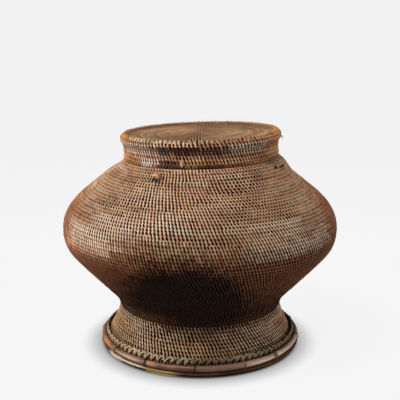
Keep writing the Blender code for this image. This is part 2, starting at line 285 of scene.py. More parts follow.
def addStraps(heap, outline, plan, sewing, place, patches=()):
    chance = np.random.default_rng(sewing["seed"] + 100)
    low, high, first, last = plan["low"], plan["high"], plan["from"], plan["to"]
    count, tall, middle = len(low), (last - first)[:, None], (low + high) / 2
    radius = onOutline(outline, (first + last) / 2, "r")[:, None]
    height = onOutline(outline, (first + last) / 2, "z")
    reach, stations, bend = sewing["overlap"], sewing["stations"], sewing["bend"]
    s = first[:, None] - reach + (tall + 2 * reach) * np.linspace(0, 1, stations)
    share = (s - first[:, None]) / tall
    slant = (high - low)[:, None]
    angle = low[:, None] + slant * (share + bend * np.sin(turn * share) / turn)
    sideways = radius * slant * (1 + bend * np.cos(turn * share))
    norm = np.hypot(sideways, tall)
    wide = sewing["width"] * (1 + chance.uniform(-1, 1, (count, 1)) * sewing["uneven"] * 2)
    flare = sewing["flare"]
    if "openRight" in sewing:           # there the gaps between stitches run on from row to row
        missing, soon = sewing["openRight"]
        opened = np.clip(soon * np.sin(low), 0, 1) * np.interp(height / mm, *sewing["slantHeights"])
        flare = flare * (1 - missing * opened[:, None])
    wide = wide * (1 + flare * np.abs(2 * share - 1) ** 3)
    wide = wide * (1 - sewing["finer"] * np.sin(low[:, None]) ** 2)
    thick = sewing["thick"] * (1 + chance.uniform(-0.25, 0.25, (count, 1)))
    across, lift = sewing["section"]
    angle = angle[..., None] + across * (wide * tall / norm / radius)[..., None]
    up = s[..., None] - across * (wide * sideways / norm)[..., None]        # along the outline
    arch = np.sin(pi * np.clip(share, 0, 1)) ** 0.7
    base = sewing["crest"] - sewing["thick"] * strapTop - sewing["dip"] * (1 - arch)
    base = base + chance.uniform(-1, 1, (count, 1)) * sewing["thick"] * 0.15
    points = turnedPoint(outline, up, base[..., None] + lift * thick[..., None], angle)
    sides = len(across)
    index = np.arange(count * stations * sides).reshape(count, stations, sides)
    turnedOn = np.roll(index, -1, axis=2)
    quads = np.stack([index[:, :-1], turnedOn[:, :-1], turnedOn[:, 1:], index[:, 1:]], -1).reshape(-1, 4)
    faces = [quads, index[:, 0, ::-1].reshape(-1, sides), index[:, -1].reshape(-1, sides)]

    bands = sewing["bands"]             # the UV layout stacks this many arcs of the ring
    band = np.floor(middle[:, None, None] / turn * bands)
    u = inset(angle / turn * bands - band)
    v = inset((up - first.min()) / (last.max() - first.min()))
    uv = np.stack([u, (np.mod(band, bands) + v) / bands + 0 * u], -1).reshape(-1, 2)

    tone = np.clip(0.55 * plan["shade"] + 0.45 * chance.uniform(0, 1, count), 0, 1)
    numbers = (tone[:, None, None], (share * 2 - 1)[..., None], across * 2)
    stitch = np.stack([np.broadcast_to(number, up.shape) for number in numbers], -1).reshape(-1, 3)
    patch = patchShares(patches, middle, height, chance)
    zones = [belowEdge(sewing[key], middle, height, chance) if key in sewing else np.zeros(count)
             for key in ("reddish", "sootAndShade")]
    if "shaded" in sewing:              # a foot gets painted shade above its edge, in the bowl's shadow
        zones[1] = 1 - belowEdge(sewing["shaded"], middle, height, chance, 0.07)
    if "lessSootAndShade" in sewing:              # the soot and painted shade is lighter beside the foot
        zones[1] = zones[1] * (1 - patchShares(sewing["lessSootAndShade"], middle, height, chance).max(axis=1))
    run = np.stack([plan["hue"], *zones], -1)
    patch, run = (np.repeat(values, stations * sides, axis=0) for values in (patch, run))
    addTo(heap, place(points.reshape(-1, 3)), faces, [uv[face] for face in faces], stitch, patch, run)


# Sews a whole outline, in as many pieces as keep each one light
def sewPieces(name, outline, sewing, finish, home, patches=()):
    mostTriangles = 190000              # in one piece
    plan = planRows(outline, sewing)
    stitches, corners = len(plan["low"]), len(sewing["section"][0])
    triangles = 2 * corners * (sewing["stations"] - 1) + 2 * (corners - 2)
    count = ceil(stitches * triangles / mostTriangles)
    limits = np.linspace(0, stitches, count + 1)[1:-1].astype(int)
    rowOf = plan["row"]
    breaks = [0] + [int(np.searchsorted(rowOf, rowOf[k])) for k in limits] + [stitches]
    for i in range(count):
        some = {key: value[breaks[i]:breaks[i + 1]] for key, value in plan.items()}
        low, high = some["from"].min(), some["to"].max()
        radius = onOutline(outline, (high + low) / 2, "r")
        own = dict(sewing, bands=max(1, round(sqrt(turn * radius / (high - low)))), seed=sewing["seed"] + i)
        heap = newHeap()
        addStraps(heap, outline, some, own, home[0], patches)
        makePiece(name + (f"_{i + 1}" if count > 1 else ""), heap, finish, home)


# Coils under the stitches: a turned skin with a rib for each row
def ribs(outline, row, crest, dip):     # the ribbed side of a coil wall
    steps = 4                           # in each rib
    rows = max(1, round(outline["total"] / row))
    t = np.append(np.concatenate([i + np.arange(steps) / steps for i in range(rows)]), rows)
    s = t / rows * outline["total"]
    out = crest - dip * (1 - np.sin(pi * (t % 1)) ** 0.8)
    r = np.maximum(onOutline(outline, s, "r") + out * onOutline(outline, s, "outR"), 0)
    return list(zip(r, onOutline(outline, s, "z") + out * onOutline(outline, s, "outZ")))


def addTurned(heap, section, sides, place):
    section = np.array(section)
    count = len(section)
    onAxis = section[:, 0] < 0.2 * mm
    angle = np.arange(sides) * turn / sides
    ring = around(section[:, :1], angle, np.repeat(section[:, 1:], sides, axis=1))
    index, points, total = [], [], 0
    for i in range(count):
        if onAxis[i]:
            points.append(np.array([[0, 0, section[i, 1]]]))
            index.append(np.full(sides, total))
            total += 1
        else:
            points.append(ring[i])
            index.append(np.arange(sides) + total)
            total += sides
    run = np.append(0, np.cumsum(np.hypot(*np.diff(section, axis=0).T)))
    run = np.append(run, run[-1] + np.hypot(*(section[0] - section[-1])))
    run /= run[-1]
    quads, threes, quadUv, threeUv = [], [], [], []
    here = np.arange(sides) / sides
    there = here + 1 / sides
    for i in range(count):
        j = (i + 1) % count
        if onAxis[i] and onAxis[j]:
            continue
        a, b = index[i], index[j]
        low, high = np.full(sides, run[i]), np.full(sides, run[i + 1])
        if onAxis[i]:
            threes.append(np.stack([a, np.roll(b, -1), b], -1))
            threeUv.append(np.stack([here, low, there, high, here, high], -1).reshape(-1, 3, 2))
        elif onAxis[j]:
            threes.append(np.stack([a, np.roll(a, -1), b], -1))
            threeUv.append(np.stack([here, low, there, low, here, high], -1).reshape(-1, 3, 2))
        else:
            quads.append(np.stack([a, np.roll(a, -1), np.roll(b, -1), b], -1))
            quadUv.append(np.stack([here, low, there, low, there, high, here, high], -1).reshape(-1, 4, 2))
    faces, uv = [np.vstack(quads)], [np.vstack(quadUv)]
    if threes:
        faces.append(np.vstack(threes))
        uv.append(np.vstack(threeUv))
    addTo(heap, place(np.vstack(points)), faces, uv)


def turnPiece(name, section, finish, home, creased=70, sides=128):
    heap = newHeap()
    addTurned(heap, section, sides, home[0])
    makePiece(name, heap, finish, home, creased)


# Strands: cane, cord and ends that follow a line, flat or round
def addStrand(heap, path, up, width, thick, sides=8, closed=False, cell=(0, 1), tone=0.5, patch=(0, 0, 0)):
    path = np.array(path, float)
    count = len(path)
    up = np.broadcast_to(np.array(up, float), path.shape)
    width = np.broadcast_to(np.array(width, float), (count,))
    thick = np.broadcast_to(np.array(thick, float), (count,))
    along = np.roll(path, -1, 0) - np.roll(path, 1, 0)
    if not closed:
        along[0], along[-1] = path[1] - path[0], path[-1] - path[-2]
    along /= np.linalg.norm(along, axis=1)[:, None]
    side = np.cross(along, up)
    side /= np.linalg.norm(side, axis=1)[:, None]
    up = np.cross(side, along)
    a = np.arange(sides) * turn / sides
    points = (path[:, None] + side[:, None] * (width[:, None] / 2 * np.cos(a))[..., None]
              + up[:, None] * (thick[:, None] / 2 * np.sin(a))[..., None]).reshape(-1, 3)
    index = np.arange(count * sides).reshape(count, sides)
    onward = np.roll(index, -1, 0) if closed else index[1:]
    start = index if closed else index[:-1]
    quads = np.stack([start, np.roll(start, -1, 1), np.roll(onward, -1, 1), onward], -1).reshape(-1, 4)
    spans = len(start)
    i, k = np.divmod(np.arange(spans * sides), sides)
    here = np.stack([i, k, i, k + 1, i + 1, k + 1, i + 1, k], -1).reshape(-1, 4, 2) / np.array([spans, sides])
    number, total = cell                # a strand's own square of the UV layout
    across = ceil(sqrt(total))
    corner = np.array([number % across, number // across])
    uv = [(corner + 0.02 + 0.96 * here) / across]
    faces = [quads]
    if not closed:
        for end in (index[0][::-1], index[-1]):
            faces.append(end[None])
            small = np.stack([np.cos(a), np.sin(a)], -1) * 0.008 + 0.011
            uv.append(((corner + small) / across)[None])
    lengthwise = np.repeat(np.linspace(-1, 1, count), sides)
    crosswise = np.tile(np.cos(a), count)
    stitch = np.stack([np.full(count * sides, tone), lengthwise, crosswise], -1)
    addTo(heap, points, faces, uv, stitch, np.tile(np.array(patch, float), (count * sides, 1)))


# Finishes
def tint(red, green, blue):             # a colour as it looks on a screen
    return tuple((c / 12.92 if c <= 0.04045 else ((c + 0.055) / 1.055) ** 2.4)
                 for c in (red / 255, green / 255, blue / 255)) + (1.0,)


class Link:                             # a socket of a finish, so that shader maths reads as sums
    def __init__(self, tree, socket=None):
        self.tree, self.socket = tree, socket

    def node(self, kind, settings=None, sockets=None, output=0):
        made = self.tree.nodes.new("ShaderNode" + kind)
        for name, value in (settings or {}).items():
            if name == "stops":
                while len(made.color_ramp.elements) < len(value):
                    made.color_ramp.elements.new(0.5)
                for stop, (place, colour) in zip(made.color_ramp.elements, value):
                    stop.position, stop.color = place, colour
            else:
                setattr(made, name, value)
        for name, value in (sockets or {}).items():
            if isinstance(value, Link):
                self.tree.links.new(value.socket, made.inputs[name])
            else:
                made.inputs[name].default_value = value
        return Link(self.tree, made.outputs[output])

    def maths(self, operation, first, second=0.0, clamp=False):
        return self.node("Math", {"operation": operation, "use_clamp": clamp}, {0: first, 1: second})

    def __add__(self, other):
        return self.maths("ADD", self, other)

    def __sub__(self, other):
        return self.maths("SUBTRACT", self, other)

    def __mul__(self, other):
        return self.maths("MULTIPLY", self, other)

    def __pow__(self, other):
        return self.maths("POWER", self, other)

    def __rsub__(self, other):
        return self.maths("SUBTRACT", other, self)

    def size(self):                     # without its sign
        return self.maths("ABSOLUTE", self)

    def held(self):                     # between 0 and 1
        return self.maths("ADD", self, 0.0, clamp=True)

    def between(self, low, high):       # 0 below low and 1 above high, with a soft edge
        return self.node("MapRange", {"interpolation_type": "SMOOTHSTEP"},
                         {"Value": self, "From Min": low, "From Max": high})

    def noise(self, place, scale, detail, rough):
        return self.node("TexNoise", {}, {"Vector": place, "Scale": scale, "Detail": detail,
                                          "Roughness": rough})

    def moved(self, by):
        return self.node("Mapping", {}, {"Vector": self, "Location": by})

    def towards(self, colour, share, blend="MIX"):
        return self.node("Mix", {"data_type": "RGBA", "blend_type": blend}, {0: share, 6: self, 7: colour}, 2)

    def tints(self, first, second):     # from one colour to the other as this goes from low to high
        share = self.between(0.35, 0.65)
        return self.node("Mix", {"data_type": "RGBA"}, {0: share, 6: tint(*first), 7: tint(*second)}, 2)

    def overlaid(self, overlays, shares):  # towards each overlay colour, as far as its share says
        colour = self
        for stain, share in zip(overlays, shares):
            colour = colour.towards(tint(*stain), share)
        return colour

    def grey(self):
        return self.node("CombineXYZ", {}, {0: self, 1: self, 2: self})

    def lit(self, light):               # a colour made darker or lighter
        return self.towards(light.grey(), 1.0, "MULTIPLY")


# A new finish, its shader and a link to start from; then what varies over it is fed to the shader
def newFinish(name, roughness, coat=0.0, shine=0.25):
    finish = bpy.data.materials.new(name)
    finish.use_nodes = True
    shader = finish.node_tree.nodes["Principled BSDF"]
    shader.inputs["Roughness"].default_value = roughness
    shader.inputs["Coat Weight"].default_value = coat
    shader.inputs["Specular IOR Level"].default_value = shine
    return finish, shader, Link(finish.node_tree)


def feed(start, shader, colour, roughness, height, bump, deep):
    normal = start.node("Bump", {}, {"Strength": bump, "Distance": deep, "Height": height})
    for name, value in (("Base Color", colour), ("Roughness", roughness), ("Normal", normal)):
        start.tree.links.new(value.socket, shader.inputs[name])


def carried(start, name):               # the three numbers that each stitch carries
    whole = start.node("Attribute", {"attribute_name": name}, output="Vector")
    return [start.node("SeparateXYZ", {}, {0: whole}, k) for k in range(3)]


def caneFinish(name, look):             # split cane, stained stitch by stitch
    finish, shader, start = newFinish(name, look["roughness"])
    place = start.node("TexCoord", output="Object")
    tone, along, across = carried(start, "stitch")
    golden, pale, dark = carried(start, "patch")
    hue, reddish, sootAndShade = carried(start, "run")
    broad = start.noise(place, look["broad"], 3.0, 0.55)
    small = start.noise(place.moved((1.0, 4.0, 2.0)), 140.0, 2.0, 0.6)
    grain = start.node("CombineXYZ", {}, {0: tone * 61.0, 1: along * 0.7, 2: across * 4.5})
    streak = start.noise(grain, 1.6, 3.0, 0.6)

    stops = [(stop, tint(*colour)) for stop, *colour in look["colours"]]
    hue = hue * look["runShare"] + broad.between(0.3, 0.7) * (1 - look["runShare"])
    colour = start.node("ValToRGB", {"stops": stops}, {0: hue})
    # the last of these is soot with painted shade
    overlays = [look[key] for key in ("reddish", "golden", "pale", "dark", "sootAndShade")]
    colour = colour.overlaid(overlays, (reddish, golden, pale, dark, sootAndShade))
    light = (tone * look["uneven"] + (1 - look["uneven"] / 2)) * (streak * 0.6 + 0.7)
    edge = (across.size() ** 4.0) * (1 - (along.size() ** 2.0) * 0.8).held()      # darker along both edges, less so near the ends
    light = light * (1 - (along.size() ** 3.0) * look["endDarkening"] - edge * look["edgeDarkening"])
    roughness = (streak * 0.22 + small * 0.12 + (look["roughness"] - 0.15)).held()
    feed(start, shader, colour.lit(light), roughness, streak * 0.7 + small * 0.5, 0.35, 0.25 * mm)
    return finish


def coilFinish(name, dark, light):      # the coil that shows between the stitches, near black: partly its own colour, partly painted shade in the holes
    finish, shader, start = newFinish(name, 0.8, shine=0.1)
    place = start.node("TexCoord", output="Object")
    small = start.noise(place, 260.0, 3.0, 0.6)
    broad = start.noise(place.moved((5.0, 1.0, 3.0)), 24.0, 2.0, 0.5)
    colour = broad.tints(dark, light).lit(small * 0.8 + 0.55)
    feed(start, shader, colour, (small * 0.3 + 0.6).held(), small, 0.5, 0.3 * mm)
    return finish


# The bowl
bowl = {
    "row": 4.15 * mm,
    "pitch": 3.75 * mm,
    "width": 1.7 * mm,
    "flare": 0.85,               # how much wider it is at its ends
    "finer": 0.12,               # how much narrower on both sides of the basket
    "openRight": (0.75, 1.35),   # of the flare that is missing at the belly's right, and how soon on the way
    "thick": 0.6 * mm,
    "crest": 0.3 * mm,           # a stitch's highest point, out from the CAD solid's side
    "dip": 0.1 * mm,             # how far it dives between two rows
    "overlap": 0.2 * mm,
    "lean": 0.36,                # of a pitch for each row of holes
    "leanChange": 0.22,          # more on the right than on the left
    "bend": 0.55,                # how much more a stitch slants at its ends
    "slant": 0.3,                # of a pitch from a stitch's foot to its top, more on the left
    "slantRight": 0.95,          # much more on the right, but only at the belly
    "slantHeights": ([134, 144, 166, 180], [0, 1, 1, 0]),
    "uneven": 0.07,
    "stations": 6,
    "section": fullStrap,
    "seed": 11,
    "outline": [                 # radius and height
        (98.5, 51), (104.15, 64.58), (122.77, 84.95), (144.72, 108.42), (161.01, 128.6), (165, 148),
        (161.04, 166.08), (149.16, 182.52), (129.72, 198.96), (111.36, 213.76), (98.4, 225.82), (93, 230.2)],
    "runLength": 18,             # stitches sewn with one length of cane
    "reddish": [                 # the edge below which the cane is reddish: angle, height and softness
        (-180, 158, 16), (-95, 194, 30), (-72, 184, 40), (-60, 160, 40), (-52, 141, 16), (-46, 140, 9),
        (-36, 144, 10), (-27, 157, 26), (-12, 160, 36), (6, 160, 38), (18, 154, 20), (27, 148, 10),
        (51, 144, 10), (58, 158, 30), (66, 186, 40), (80, 204, 40), (95, 200, 30)],
    "sootAndShade": [                   # and below which soot and painted shade darken it
        (-180, 130, 30), (-100, 126, 30), (-82, 116, 34), (-62, 90, 44), (-44, 92, 42), (-30, 118, 40),
        (-18, 142, 26), (0, 145, 22), (10, 134, 30), (20, 105, 50), (30, 88, 60), (58, 80, 50),
        (80, 112, 40), (100, 124, 34)],
    "lessSootAndShade": [("pale", -36, 22, 44, 66, 0.35), ("pale", 34, 18, 44, 62, 0.2)],
    "neck": (86.9 * mm, 243.0 * mm),
    "patches": [                 # kind, angle, half width, lowest and highest in mm, strength
        ("golden", -59, 9, 138, 156, 0.55), ("golden", -77, 10, 178, 194, 0.45),
        ("golden", 35, 4, 190, 196, 0.25), ("golden", -46, 8, 214, 223, 0.35),
        ("pale", -50, 16, 144, 172, 0.55), ("pale", -33, 17, 168, 186, 0.5), ("pale", -16, 12, 176, 192, 0.4),
        ("pale", -26, 15, 195, 213, 0.35), ("pale", 51, 13, 160, 178, 0.1), ("dark", 8, 22, 168, 186, 0.18),
        ("pale", 32, 13, 164, 182, 0.35), ("pale", 6, 60, 227, 231, 0.15), ("golden", 0, 40, 227, 231, 0.2),
        ("pale", 40, 24, 145, 164, 0.5), ("dark", 15, 10, 184, 197, 0.35), ("dark", 36, 6, 217, 225, 0.4),
        ("golden", 140, 14, 170, 200, 0.45), ("pale", 200, 16, 165, 185, 0.4),
        ("dark", -130, 12, 185, 205, 0.3),
    ],
}
bowlLook = {
    "colours": [(0, 186, 170, 136), (0.22, 210, 174, 136), (0.45, 202, 154, 118),
                (0.62, 176, 130, 97), (0.8, 214, 186, 156), (1, 192, 126, 74)],
    "reddish": (146, 90, 58), "golden": (200, 122, 60), "pale": (247, 219, 193), "dark": (104, 76, 72),
    # the underside colour: partly soot, partly painted shade where the belly faces down
    "sootAndShade": (43, 21, 11), "broad": 14.0, "runShare": 0.55, "uneven": 0.5,
    "endDarkening": -0.12, "edgeDarkening": 0.45, "roughness": 0.5,
}
sideOutline = makeOutline(np.array(bowl["outline"]) * mm, 8)
ledge, (neck, neckTop) = mouth["height"], bowl["neck"]
sideTop, sideEnd = (onOutline(sideOutline, sideOutline["total"], key) for key in "rz")
neckOutline = makeOutline([(sideTop, sideEnd), (sideTop - 1.6 * mm, ledge + 0.1 * mm),
                           (neck + 1.6 * mm, ledge + 0.2 * mm), (neck, ledge + 1.8 * mm), (neck, neckTop)])
inside = [(82.9 * mm, neckTop), (82.9 * mm, 236 * mm), (82.7 * mm, 228 * mm)]
inside += measured("bowl_wall", 223 * mm, 60 * mm, 22, fromInside=True)
inside += [(93.5 * mm, 55.6 * mm), (86 * mm, 55 * mm), (40 * mm, 55 * mm), (1 * mm, 55 * mm)]
insideOutline = makeOutline(inside)
print("bowl outline:", round(sideOutline["total"] / mm, 1), "mm up the side")

bowlCane = caneFinish("bowl_cane", bowlLook)
bowlInside = caneFinish("bowl_inside_cane", {**bowlLook, "uneven": 0.35, "broad": 9.0})
bowlCoil = coilFinish("bowl_coil", (24, 10, 3), (36, 17, 6))

bowlHome = (withTheMouth, "basket", ["bowl_wall"], "bowl_cane")
coreSection = [(0, 51.0 * mm), (60 * mm, 51.0 * mm), (95 * mm, 51.0 * mm)]
coreSection += ribs(sideOutline, bowl["row"], -0.8 * mm, 0.6 * mm)
coreSection += ribs(neckOutline, bowl["row"], -0.9 * mm, 0.5 * mm)[1:]
coreSection += ribs(insideOutline, bowl["row"], -0.4 * mm, 0.8 * mm)
coreSection.append((0, 55.0 * mm - 0.4 * mm))
turnPiece("bowl_coil", coreSection, bowlCoil, bowlHome)
sewPieces("bowl_stitches", sideOutline, bowl, bowlCane, bowlHome, bowl["patches"])
onlyBelly = ("reddish", "sootAndShade", "lessSootAndShade", "slant", "openRight")
plain = {key: value for key, value in bowl.items() if key not in onlyBelly}
neckSewing = dict(plain, crest=0.1 * mm, seed=31, lean=0.3)
sewPieces("neck_stitches", neckOutline, neckSewing, bowlCane, bowlHome)
insideSewing = dict(plain, section=plainStrap, stations=4, crest=0.1 * mm, seed=41, lean=-0.4, width=2.5 * mm)
sewPieces("inside_stitches", insideOutline, insideSewing, bowlInside, bowlHome)


# Coils that are wrapped all round, with slanting turns
def wrapCoil(name, centre, radius, wrap, finish, coil, home, patches=()):
    outline = makeOutline(arcPoints(centre, radius, wrap["from"], wrap["to"], 13))
    count = round(turn * centre[0] / wrap["pitch"])
    step = turn / count
    chance = np.random.default_rng(wrap["seed"])
    low = np.arange(count) * turn / count + chance.uniform(-1, 1, count) * step * wrap["uneven"]
    high = low + step * wrap["slant"] * (1 + chance.uniform(-0.25, 0.25, count))
    if wrap.get("crossing"):            # every other turn leans back, so that they stand in pairs
        high[1::2] = (2 * low - high)[1::2]
    hue, shade = caneRuns(count, 0.12, chance)
    plan = {"low": low, "high": high, "from": np.zeros(count), "to": np.full(count, outline["total"]),
            "hue": hue, "shade": shade}
    turnPiece(name + "_coil", arcPoints(centre, radius - 0.35 * mm, 0, 330, 12), coil, home, creased=50)
    own = dict(wrap, stations=9, dip=0, overlap=0, bend=0, flare=0, finer=0, crest=wrap["thick"] * 1.1,
               section=fullStrap, bands=max(1, round(sqrt(turn * centre[0] / outline["total"]))))
    heap = newHeap()
    addStraps(heap, outline, plan, own, home[0], patches)
    makePiece(name, heap, finish, home)


rimWrap = {"from": -170, "to": 170, "pitch": 3.4 * mm, "width": 2.7 * mm, "thick": 0.4 * mm, "slant": 0.7,
           "uneven": 0.08, "seed": 51}
rimHome = (onTheLedge, "basket", ["mouth_rim"], "bowl_cane")
wrapCoil("mouth_rim_wrap", (84.9 * mm, 14.3 * mm), 1.75 * mm, rimWrap, bowlCane, bowlCoil, rimHome)


# The foot
foot = {
    **plain, "row": 4.4 * mm, "pitch": 4.1 * mm, "width": 1.55 * mm, "dip": 0.26 * mm, "seed": 61,
    "lean": 0.42, "leanChange": 0.1, "slant": 0.32, "slantRight": 0.6, "slantHeights": ([0, 60], [1, 1]),
    "bend": 0.4, "flare": 0.9, "finer": 0.1,
    "shaded": [                  # the edge above which shade under the bowl is painted: angle, height and softness
        (-180, 56, 16), (-70, 62, 16), (-45, 60, 20), (-25, 53, 24), (0, 46, 28), (20, 51, 26),
        (35, 56, 24), (50, 58, 20), (90, 60, 16)],
}
footPatches = [
    ("golden", -28, 7, 26, 36, 0.6), ("golden", -61, 9, 33, 43, 0.6), ("golden", -8, 5, 29, 35, 0.65),
    ("golden", 55, 10, 24, 40, 0.3), ("pale", -46, 20, 34, 50, 0.4), ("pale", 42, 26, 20, 46, 0.3),
    ("pale", -33, 15, 20, 46, 0.3), ("pale", 48, 18, 8, 27, 0.45), ("golden", 150, 14, 20, 36, 0.4),
]
footLook = {
    **bowlLook, "golden": (204, 122, 50),
    "colours": [(0, 170, 146, 110), (0.25, 204, 162, 116), (0.5, 174, 132, 91),
                (0.68, 214, 180, 141), (0.85, 176, 119, 79), (1, 186, 126, 76)],
}
footOutline = makeOutline(measured("foot_wall", 7.0 * mm, 50.4 * mm, 10))
footInside = makeOutline(measured("foot_wall", 50.4 * mm, 7.0 * mm, 10, fromInside=True))
footCane = caneFinish("foot_cane", footLook)
footCoil = coilFinish("foot_coil", (22, 11, 4), (32, 18, 8))
footHome = (asItStands, "basket", ["foot_wall"], "foot_cane")
footSection = ribs(footOutline, foot["row"], -0.8 * mm, 0.6 * mm)
footSection += ribs(footInside, foot["row"], -0.3 * mm, 0.8 * mm)
turnPiece("foot_coil", footSection, footCoil, footHome)
sewPieces("foot_stitches", footOutline, foot, footCane, footHome, footPatches)
footInsideSewing = dict(foot, section=plainStrap, stations=4, crest=0.1 * mm, seed=71, lean=-0.4, slant=0)
sewPieces("foot_inside_stitches", footInside, footInsideSewing, footCane, footHome)
seamWrap = {"from": -175, "to": 175, "pitch": 4.0 * mm, "width": 2.9 * mm, "thick": 0.4 * mm, "slant": 0.8,
            "uneven": 0.08, "seed": 81}
seamHome = (asItStands, "basket", ["foot_seam"], "foot_cane")
wrapCoil("foot_seam_wrap", (92.2 * mm, 48.7 * mm), 1.7 * mm, seamWrap, footCane, footCoil, seamHome)
print("foot done")


# The lid, with heights counted up from the ledge
lid = {
    **plain, "row": 4.4 * mm, "pitch": 3.9 * mm, "width": 1.7 * mm, "seed": 91,
    "lean": 0.46, "leanChange": 0.15,
    "beadCentre": (89.9 * mm, 25.0 * mm), "beadRadius": 6.0 * mm,
    "crestCentre": (90.5 * mm, 28.1 * mm), "crestRadius": 2.6 * mm,
    "edgeCentre": (90.6 * mm, 2.4 * mm), "edgeRadius": 1.9 * mm,
    "topRadius": 83.4 * mm, "topHeight": 27.0 * mm, "underHeight": 23.0 * mm, "insideRadius": 87.9 * mm,
}
lidPatches = [
    ("pale", -40, 9, 4, 9, 0.9), ("dark", -22, 8, 3, 10, 0.8), ("golden", -2, 9, 5, 9, 0.4),
    ("golden", 50, 9, 3, 8, 0.6), ("pale", 35, 22, 15, 27, 0.6), ("pale", -46, 26, 12, 27, 0.5),
    # the dark patch at -6 degrees under the bead is partly stain, partly painted shadow of the bead
    ("dark", -6, 27, 15, 25, 0.85), ("golden", 100, 20, 5, 24, 0.5), ("pale", 190, 25, 18, 27, 0.4),
]
lidLook = {
    **bowlLook, "golden": (184, 136, 66), "pale": (250, 238, 222), "dark": (76, 42, 44),
    "colours": [(0, 180, 128, 98), (0.25, 218, 158, 113), (0.5, 198, 134, 94),
                (0.7, 236, 188, 146), (0.88, 164, 108, 84), (1, 202, 128, 70)],
}
lidCane = caneFinish("lid_cane", lidLook)
lidCoil = coilFinish("lid_coil", (24, 10, 4), (36, 16, 7))
skirtOutline = makeOutline(measured("lid_skirt", 4.9 * mm, 18.6 * mm, 6, ledge=True))
beadOutline = makeOutline(arcPoints(lid["beadCentre"], lid["beadRadius"], -100, 52, 12))
innerBeadOutline = makeOutline(arcPoints(lid["beadCentre"], lid["beadRadius"], 112, 205, 8))

skirtHome = (onTheLedge, "lid", ["lid_skirt"], "lid_cane")
beadHome = (onTheLedge, "lid", ["lid_bead"], "lid_bead_cane")
lidInside = lid["insideRadius"]
skirtSection = ribs(skirtOutline, lid["row"], -0.8 * mm, 0.6 * mm)
skirtSection += [(lidInside + 1.0 * mm, 18.7 * mm), (lidInside, 17.5 * mm),
                 (lidInside, 5.5 * mm), (lidInside + 0.8 * mm, 4.8 * mm)]
turnPiece("lid_side_coil", skirtSection, lidCoil, skirtHome)
sewPieces("lid_side_stitches", skirtOutline, lid, lidCane, skirtHome, lidPatches)
beadSection = arcPoints(lid["beadCentre"], lid["beadRadius"] - 0.9 * mm, 0, 345, 24)
turnPiece("lid_bead_coil", beadSection, lidCoil, beadHome)
beadSewing = dict(lid, row=5.0 * mm, pitch=4.3 * mm, width=2.0 * mm, seed=95, lean=0.35, dip=0.5 * mm)
sewPieces("lid_bead_stitches", beadOutline, beadSewing, lidCane, beadHome, lidPatches)
# the inner side is darker at the back: painted shade on the far inner wall
sewPieces("lid_bead_inner_stitches", innerBeadOutline, dict(beadSewing, seed=97), lidCane, beadHome,
          [("dark", 180, 100, 10, 40, 0.5)])

crestLook = {
    **lidLook, "golden": (204, 134, 50), "pale": (238, 218, 190), "dark": (66, 34, 34),
    "colours": [(0, 186, 140, 90), (0.3, 206, 160, 108), (0.55, 164, 112, 70),
                (0.75, 220, 184, 142), (1, 186, 112, 48)],
    "uneven": 0.6, "roughness": 0.42,
}
crestPatches = [
    ("golden", -76, 18, 0, 40, 0.8), ("pale", -36, 26, 0, 40, 0.95), ("pale", -9, 15, 0, 40, 0.4),
    ("golden", 72, 22, 0, 40, 0.75), ("dark", 60, 4, 0, 40, 0.7), ("golden", 180, 50, 0, 40, 0.3),
    ("dark", 150, 8, 0, 40, 0.4),
]
crestCane = caneFinish("lid_bead_cane", crestLook)
crestWrap = {"from": -75, "to": 200, "pitch": 2.7 * mm, "width": 2.1 * mm, "thick": 0.9 * mm, "slant": 0.9,
             "crossing": True, "uneven": 0.2, "seed": 101}
wrapCoil("lid_crest_wrap", lid["crestCentre"], lid["crestRadius"], crestWrap, crestCane, lidCoil, beadHome,
         crestPatches)

# One reddish strand lies along the inner side of the crest
pink = {"from": 17, "to": 47, "in": 1.9 * mm, "up": 2.9 * mm, "wave": 0.3 * mm, "width": 2.2 * mm,
        "thick": 1.0 * mm, "colours": [(0, 164, 84, 74), (1, 214, 146, 126)]}
pinkCane = caneFinish("lid_pink_cane", {**crestLook, "colours": pink["colours"]})
angle = np.radians(np.linspace(pink["from"], pink["to"], 40))
r = lid["crestCentre"][0] - pink["in"] + pink["wave"] * np.sin(angle * 60)
z = lid["crestCentre"][1] + pink["up"] + pink["wave"] * np.cos(angle * 47)
taper = np.sin(np.linspace(0.25, 2.9, 40)) ** 0.4
heap = newHeap()
addStrand(heap, onTheLedge(around(r, angle, z)), (0, -0.5, 1), pink["width"] * taper, pink["thick"])
makePiece("lid_pink_strand", heap, pinkCane, beadHome)

edgeLook = {
    **lidLook, "colours": [(0, 146, 100, 80), (0.4, 176, 126, 96), (0.7, 136, 90, 74), (1, 176, 124, 80)],
}
edgePatches = [
    ("golden", -62, 18, 0, 6, 0.6), ("pale", -41, 7, 0, 6, 0.6), ("dark", -20, 10, 0, 6, 0.8),
    ("dark", 6, 12, 0, 6, 0.6), ("golden", 48, 12, 0, 6, 0.8), ("golden", 200, 30, 0, 6, 0.5),
]
edgeCane = caneFinish("lid_edge_cane", edgeLook)
edgeWrap = {"from": -170, "to": 170, "pitch": 3.8 * mm, "width": 2.7 * mm, "thick": 0.35 * mm, "slant": -0.75,
            "uneven": 0.08, "seed": 111}
edgeHome = (onTheLedge, "lid", ["lid_edge_coil"], "lid_edge_cane")
wrapCoil("lid_edge_wrap", lid["edgeCentre"], lid["edgeRadius"], edgeWrap, edgeCane, lidCoil, edgeHome,
         edgePatches)

